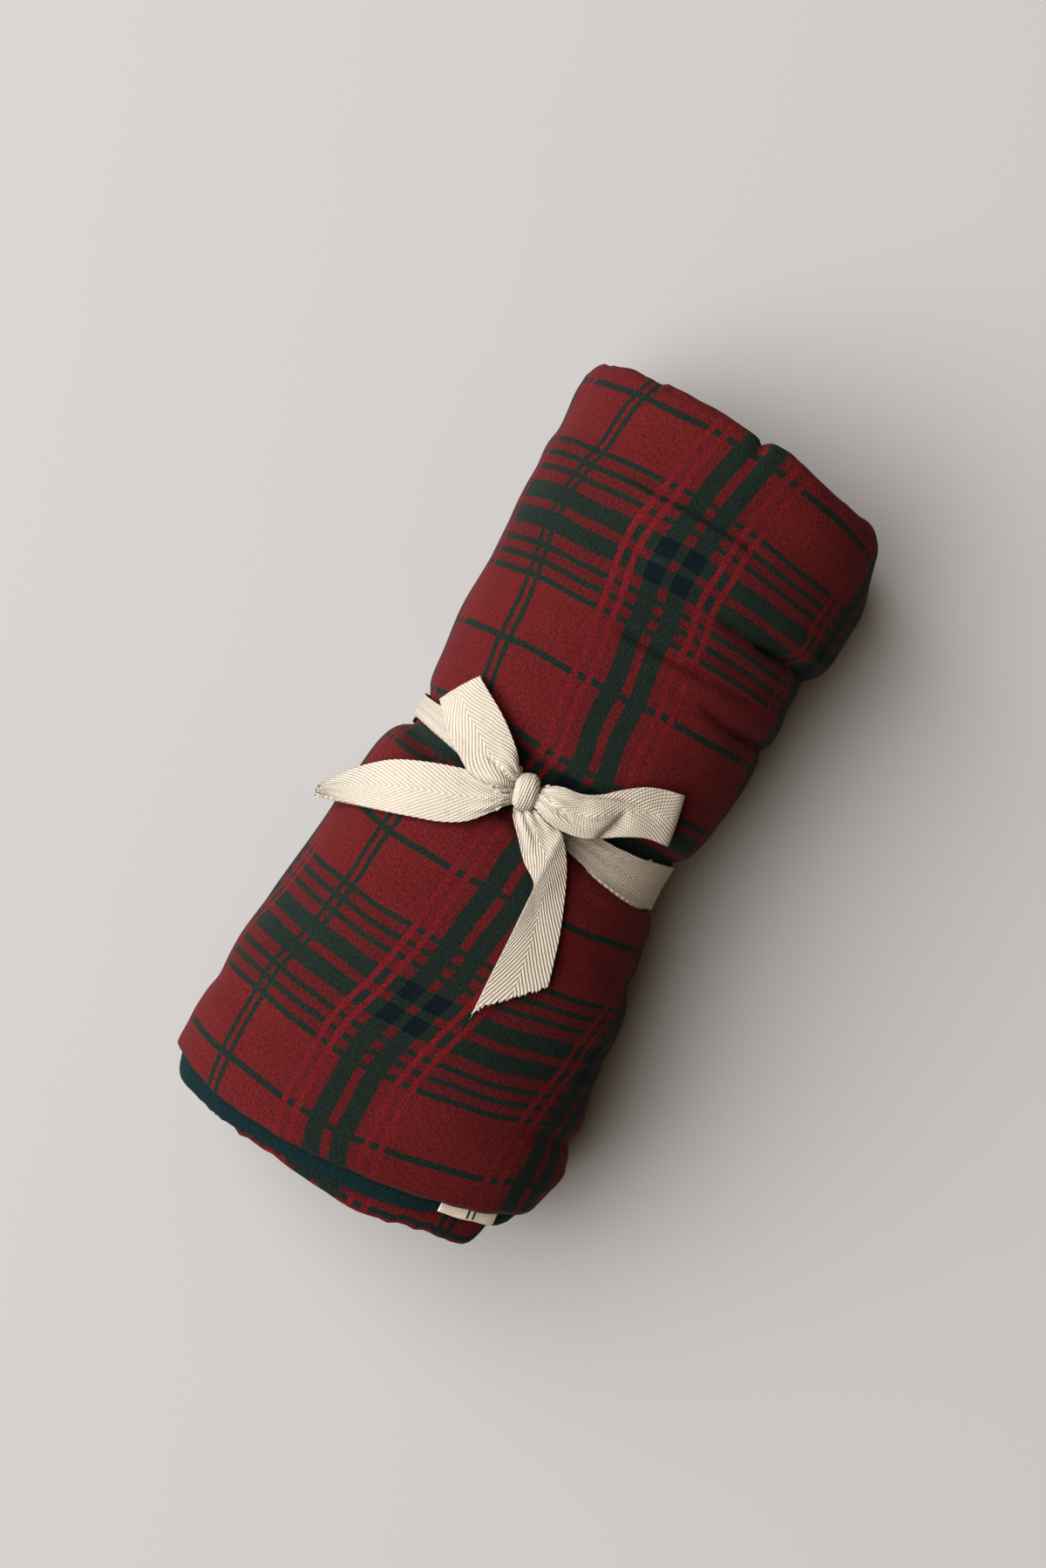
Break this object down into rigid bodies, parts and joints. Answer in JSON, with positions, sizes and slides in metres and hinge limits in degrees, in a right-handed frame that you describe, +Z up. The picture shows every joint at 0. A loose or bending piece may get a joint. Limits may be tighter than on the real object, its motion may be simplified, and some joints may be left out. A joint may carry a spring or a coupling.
{
  "type": "rolled muslin quilt",
  "caption": "Plaid muslin quilt folded lengthwise, rolled up and tied round the middle with a bow of natural cotton tape.",
  "frame": {"origin": "on the floor under the middle of the whole roll", "axes": "+X across the roll, +Y along the roll towards its folded end, +Z up from the floor"},
  "size_m": [0.1512, 0.3136, 0.0986],
  "materials": {
    "printed_muslin": "soft matt printed plaid, plain dark teal reverse",
    "cotton_tape": "natural herringbone twill, matt",
    "label_ribbon": "fine woven ribbon, matt"
  },
  "bodies": {
    "root": {"quilt_roll": "printed_muslin", "tie_band": "cotton_tape", "tie_knot": "cotton_tape", "left_loop": "cotton_tape", "left_tail": "cotton_tape", "right_loop": "cotton_tape", "down_tail": "cotton_tape", "woven_label": "label_ribbon"}
  },
  "joints": []
}
